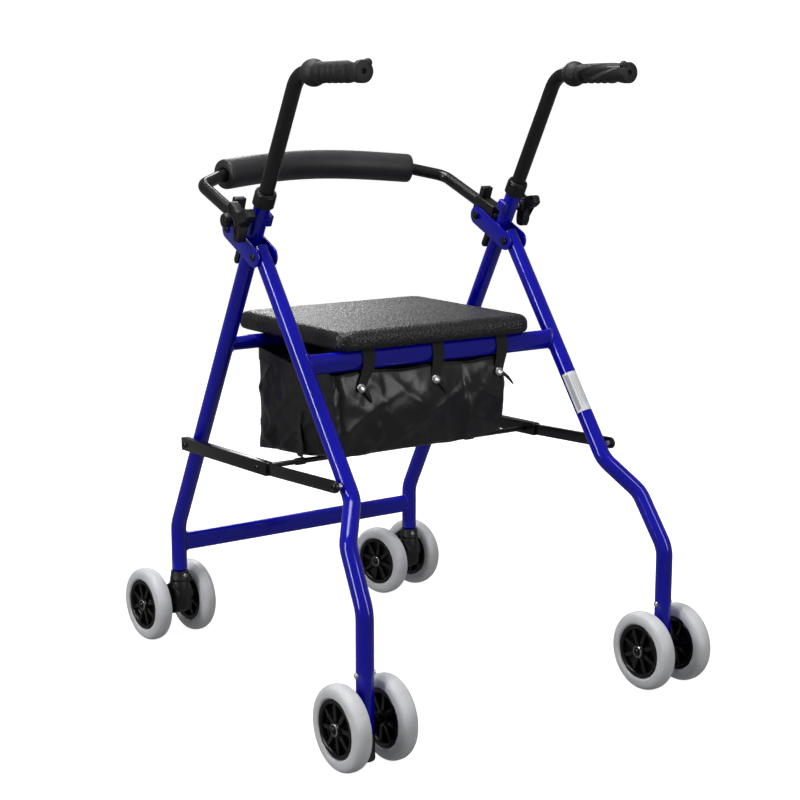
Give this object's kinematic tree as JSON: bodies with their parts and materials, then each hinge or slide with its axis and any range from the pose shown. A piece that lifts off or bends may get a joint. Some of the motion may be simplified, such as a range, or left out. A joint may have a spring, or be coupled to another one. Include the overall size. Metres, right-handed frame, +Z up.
{
  "type": "rollator walker",
  "caption": "folding walker with a blue tube frame, twin wheels at each corner, padded seat, bag below it, foam backrest and height-adjustable handles",
  "frame": {"origin": "on the ground, under the middle of the whole object", "axes": "+X the user's right, +Y forward (direction of travel), +Z up"},
  "size_m": [0.645, 0.77, 0.9366],
  "materials": {
    "blue_paint": "gloss",
    "black_paint": "satin",
    "black_plastic": "matte",
    "black_rubber": "matte",
    "tyre_grey": "matte",
    "foam": "matte",
    "seat_vinyl": "matte",
    "bag_nylon": "satin",
    "bolt_steel": "satin"
  },
  "bodies": {
    "front_frame": {"front_seat_bar": "blue_paint", "front_cross_bar": "blue_paint", "bag": "bag_nylon", "front_leg_left": "blue_paint", "front_leg_right": "blue_paint", "hinge_plate_outer_left": "blue_paint", "hinge_plate_outer_right": "blue_paint", "hinge_plate_inner_left": "blue_paint", "hinge_plate_inner_right": "blue_paint", "rear_pivot_bolt_left": "bolt_steel", "rear_pivot_bolt_right": "bolt_steel", "collar_left": "black_plastic", "collar_right": "black_plastic", "backrest_holder_left": "black_plastic", "backrest_holder_right": "black_plastic", "caster_neck_left": "black_plastic", "caster_neck_right": "black_plastic"},
    "rear_frame": {"rear_seat_bar": "blue_paint", "rear_leg_left": "blue_paint", "rear_leg_right": "blue_paint", "brake_foot_left": "black_rubber", "brake_foot_right": "black_rubber"},
    "seat": {"seat_pad": "seat_vinyl", "seat_board": "black_plastic"},
    "front_links": {"cross_rod": "black_paint", "link_front_left": "black_paint", "link_front_right": "black_paint"},
    "rear_links": {"link_rear_left": "black_paint", "link_rear_right": "black_paint"},
    "backrest": {"backrest_tube": "black_paint", "backrest_foam": "foam"},
    "handle_left": {"handle_tube_left": "black_paint", "grip_left": "black_rubber"},
    "knob_left": {"star_knob_left": "black_plastic"},
    "pull_pin_left": {"lock_pin_left": "black_paint"},
    "caster_left": {"caster_fork_left": "black_plastic"},
    "carrier_left": {"wheel_carrier_left": "black_paint"},
    "front_left_outer_wheel": {"front_left_outer_tyre": "tyre_grey", "front_left_outer_hub": "black_plastic"},
    "front_left_inner_wheel": {"front_left_inner_tyre": "tyre_grey", "front_left_inner_hub": "black_plastic"},
    "rear_left_outer_wheel": {"rear_left_outer_tyre": "tyre_grey", "rear_left_outer_hub": "black_plastic"},
    "rear_left_inner_wheel": {"rear_left_inner_tyre": "tyre_grey", "rear_left_inner_hub": "black_plastic"},
    "handle_right": {"handle_tube_right": "black_paint", "grip_right": "black_rubber"},
    "knob_right": {"star_knob_right": "black_plastic"},
    "pull_pin_right": {"lock_pin_right": "black_paint"},
    "caster_right": {"caster_fork_right": "black_plastic"},
    "carrier_right": {"wheel_carrier_right": "black_paint"},
    "front_right_outer_wheel": {"front_right_outer_tyre": "tyre_grey", "front_right_outer_hub": "black_plastic"},
    "front_right_inner_wheel": {"front_right_inner_tyre": "tyre_grey", "front_right_inner_hub": "black_plastic"},
    "rear_right_outer_wheel": {"rear_right_outer_tyre": "tyre_grey", "rear_right_outer_hub": "black_plastic"},
    "rear_right_inner_wheel": {"rear_right_inner_tyre": "tyre_grey", "rear_right_inner_hub": "black_plastic"}
  },
  "joints": [
    {"name": "frame_fold", "type": "hinge", "parent": "front_frame", "child": "rear_frame", "pos_m": [0, -0.00105, 0.6566], "axis": [1, 0, 0], "range_deg": [0, 40], "deforming": ["bag"]},
    {"name": "front_link_fold", "type": "hinge", "parent": "front_frame", "child": "front_links", "pos_m": [0, 0.20805, 0.3442], "axis": [1, 0, 0], "range_deg": [-39.29, 0.5]},
    {"name": "rear_link_fold", "type": "hinge", "parent": "front_links", "child": "rear_links", "pos_m": [0, -0.01845, 0.3507], "axis": [1, 0, 0], "range_deg": [-0.5, 127.83]},
    {"name": "seat_flip", "type": "hinge", "parent": "front_frame", "child": "seat", "pos_m": [0, 0.11337, 0.515], "axis": [-1, 0, 0], "range_deg": [0, 95]},
    {"name": "backrest_lift_off", "type": "slide", "parent": "front_frame", "child": "backrest", "axis": [0, 0.9326, 0.3608], "range_m": [0, 0.06]},
    {"name": "handle_height_left", "type": "slide", "parent": "front_frame", "child": "handle_left", "axis": [0, -0.4744, 0.8803], "range_m": [-0.13, 0]},
    {"name": "knob_turn_left", "type": "hinge", "parent": "front_frame", "child": "knob_left", "pos_m": [-0.231, 0.00774, 0.711], "axis": [-1, 0, 0], "continuous": true},
    {"name": "pin_pull_left", "type": "slide", "parent": "front_frame", "child": "pull_pin_left", "axis": [-1, 0, 0], "range_m": [0, 0.006], "stiffness_N_per_m": 1000, "springref_m": -0.004},
    {"name": "caster_swivel_left", "type": "hinge", "parent": "front_frame", "child": "caster_left", "pos_m": [-0.231, 0.28595, 0.1], "axis": [0, 0, 1], "continuous": true},
    {"name": "brake_press_left", "type": "slide", "parent": "rear_frame", "child": "carrier_left", "axis": [0, 0, 1], "range_m": [0, 0.007], "stiffness_N_per_m": 4000, "springref_m": -0.02},
    {"name": "front_left_outer_roll", "type": "hinge", "parent": "caster_left", "child": "front_left_outer_wheel", "pos_m": [-0.27506, 0.31394, 0.06], "axis": [0.9976, 0.0698, 0], "continuous": true},
    {"name": "front_left_inner_roll", "type": "hinge", "parent": "caster_left", "child": "front_left_inner_wheel", "pos_m": [-0.19126, 0.3198, 0.06], "axis": [0.9976, 0.0698, 0], "continuous": true},
    {"name": "rear_left_outer_roll", "type": "hinge", "parent": "carrier_left", "child": "rear_left_outer_wheel", "pos_m": [-0.309, -0.32505, 0.06], "axis": [1, 0, 0], "continuous": true},
    {"name": "rear_left_inner_roll", "type": "hinge", "parent": "carrier_left", "child": "rear_left_inner_wheel", "pos_m": [-0.235, -0.32505, 0.06], "axis": [1, 0, 0], "continuous": true},
    {"name": "handle_height_right", "type": "slide", "parent": "front_frame", "child": "handle_right", "axis": [0, -0.4744, 0.8803], "range_m": [-0.13, 0]},
    {"name": "knob_turn_right", "type": "hinge", "parent": "front_frame", "child": "knob_right", "pos_m": [0.231, 0.00774, 0.711], "axis": [1, 0, 0], "continuous": true},
    {"name": "pin_pull_right", "type": "slide", "parent": "front_frame", "child": "pull_pin_right", "axis": [1, 0, 0], "range_m": [0, 0.006], "stiffness_N_per_m": 1000, "springref_m": -0.004},
    {"name": "caster_swivel_right", "type": "hinge", "parent": "front_frame", "child": "caster_right", "pos_m": [0.231, 0.28595, 0.1], "axis": [0, 0, 1], "continuous": true},
    {"name": "brake_press_right", "type": "slide", "parent": "rear_frame", "child": "carrier_right", "axis": [0, 0, 1], "range_m": [0, 0.007], "stiffness_N_per_m": 4000, "springref_m": -0.02},
    {"name": "front_right_outer_roll", "type": "hinge", "parent": "caster_right", "child": "front_right_outer_wheel", "pos_m": [0.26564, 0.325, 0.06], "axis": [0.9781, 0.2079, 0], "continuous": true},
    {"name": "front_right_inner_roll", "type": "hinge", "parent": "caster_right", "child": "front_right_inner_wheel", "pos_m": [0.18347, 0.30754, 0.06], "axis": [0.9781, 0.2079, 0], "continuous": true},
    {"name": "rear_right_outer_roll", "type": "hinge", "parent": "carrier_right", "child": "rear_right_outer_wheel", "pos_m": [0.309, -0.32505, 0.06], "axis": [1, 0, 0], "continuous": true},
    {"name": "rear_right_inner_roll", "type": "hinge", "parent": "carrier_right", "child": "rear_right_inner_wheel", "pos_m": [0.235, -0.32505, 0.06], "axis": [1, 0, 0], "continuous": true}
  ],
  "couplings": [
    {"joint": "front_link_fold", "follows": "frame_fold", "ratio": -0.9697},
    {"joint": "rear_link_fold", "follows": "frame_fold", "ratio": 3.1833}
  ]
}
